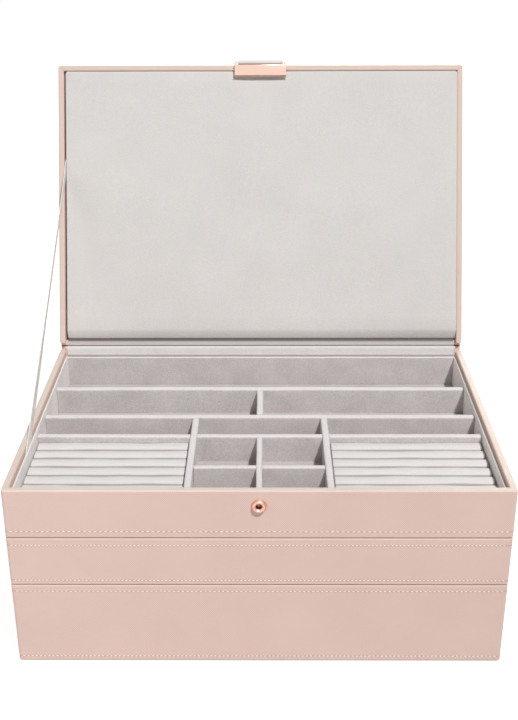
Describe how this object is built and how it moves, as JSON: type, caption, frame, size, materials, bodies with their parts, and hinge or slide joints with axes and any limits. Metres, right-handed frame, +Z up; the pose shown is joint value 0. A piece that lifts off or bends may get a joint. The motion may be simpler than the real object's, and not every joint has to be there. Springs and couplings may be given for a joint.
{
  "type": "tiered jewelry box",
  "caption": "Stacking jewellery box: lined trays in wrapped shells, the upper one with a hinged padded lid held open by a ribbon and shut by a strap with a metal bar.",
  "frame": {"origin": "centre of the base's underside, on the table", "axes": "+Z up, +X to the right as seen from the front, the front with the clasp faces -Y"},
  "size_m": [0.365, 0.3594, 0.3945],
  "materials": {
    "pink_leather": "fine cross-grained blush faux leather, matt",
    "grey_velvet": "short-pile pale grey velvet",
    "roll_velvet": "short-pile pale grey velvet over soft rolls",
    "lid_velvet": "padded pale grey velvet",
    "base_felt": "grey felt",
    "rose_gold": "polished rose-gold plate",
    "magnet_steel": "plated disc magnet",
    "stay_ribbon": "woven grosgrain ribbon",
    "strap_cloth": "lining cloth strap"
  },
  "bodies": {
    "bottom_tray": {"bottom_divider_cross": "grey_velvet", "bottom_divider_long": "grey_velvet", "bottom_tray_base_felt": "base_felt", "bottom_tray_floor_pad": "grey_velvet", "bottom_tray_liner_back": "grey_velvet", "bottom_tray_liner_front": "grey_velvet", "bottom_tray_liner_left": "grey_velvet", "bottom_tray_liner_right": "grey_velvet", "bottom_tray_shell": "pink_leather"},
    "middle_tray": {"middle_divider_cross_1": "grey_velvet", "middle_divider_cross_2": "grey_velvet", "middle_divider_cross_3": "grey_velvet", "middle_divider_long_1": "grey_velvet", "middle_divider_long_2": "grey_velvet", "middle_tray_floor_pad": "grey_velvet", "middle_tray_liner_back": "grey_velvet", "middle_tray_liner_front": "grey_velvet", "middle_tray_liner_left": "grey_velvet", "middle_tray_liner_right": "grey_velvet", "middle_tray_locating_board": "grey_velvet", "middle_tray_shell": "pink_leather"},
    "upper_tray": {"front_eyelet": "rose_gold", "hinge_lining": "grey_velvet", "hinge_spine": "pink_leather", "lid_stay_ribbon": "stay_ribbon", "ring_rolls_left": "roll_velvet", "ring_rolls_right": "roll_velvet", "upper_divider_centre": "grey_velvet", "upper_divider_left": "grey_velvet", "upper_divider_middle": "grey_velvet", "upper_divider_necklace": "grey_velvet", "upper_divider_rear": "grey_velvet", "upper_divider_right": "grey_velvet", "upper_divider_ring": "grey_velvet", "upper_divider_small": "grey_velvet", "upper_tray_floor_pad": "grey_velvet", "upper_tray_liner_back": "grey_velvet", "upper_tray_liner_front": "grey_velvet", "upper_tray_liner_left": "grey_velvet", "upper_tray_liner_right": "grey_velvet", "upper_tray_locating_board": "grey_velvet", "upper_tray_shell": "pink_leather"},
    "lid": {"lid_hinge_cloth": "grey_velvet", "lid_pad": "lid_velvet", "lid_shell": "pink_leather", "lid_strap_root": "strap_cloth"},
    "clasp_strap": {"clasp_strap": "strap_cloth"},
    "clasp_bar": {"clasp_bar": "rose_gold", "clasp_magnet": "magnet_steel", "clasp_pin": "rose_gold"}
  },
  "joints": [
    {"name": "middle_tray_lift", "type": "slide", "parent": "bottom_tray", "child": "middle_tray", "axis": [0, 0, 1], "range_m": [0, 0.06]},
    {"name": "upper_tray_lift", "type": "slide", "parent": "middle_tray", "child": "upper_tray", "axis": [0, 0, 1], "range_m": [0, 0.06]},
    {"name": "lid_hinge", "type": "hinge", "parent": "upper_tray", "child": "lid", "pos_m": [0, 0.1255, 0.1555], "axis": [1, 0, 0], "range_deg": [0, 112.5], "deforming": ["lid_stay_ribbon"]},
    {"name": "strap_fold", "type": "hinge", "parent": "lid", "child": "clasp_strap", "pos_m": [0, 0.21625, 0.39446], "axis": [1, 0, 0], "range_deg": [-96.75, 0]},
    {"name": "clasp_bar_swing", "type": "hinge", "parent": "clasp_strap", "child": "clasp_bar", "pos_m": [0, 0.21575, 0.39195], "axis": [1, 0, 0], "range_deg": [-60, 0]}
  ],
  "couplings": [
    {"joint": "strap_fold", "follows": "lid_hinge", "ratio": -0.86}
  ]
}
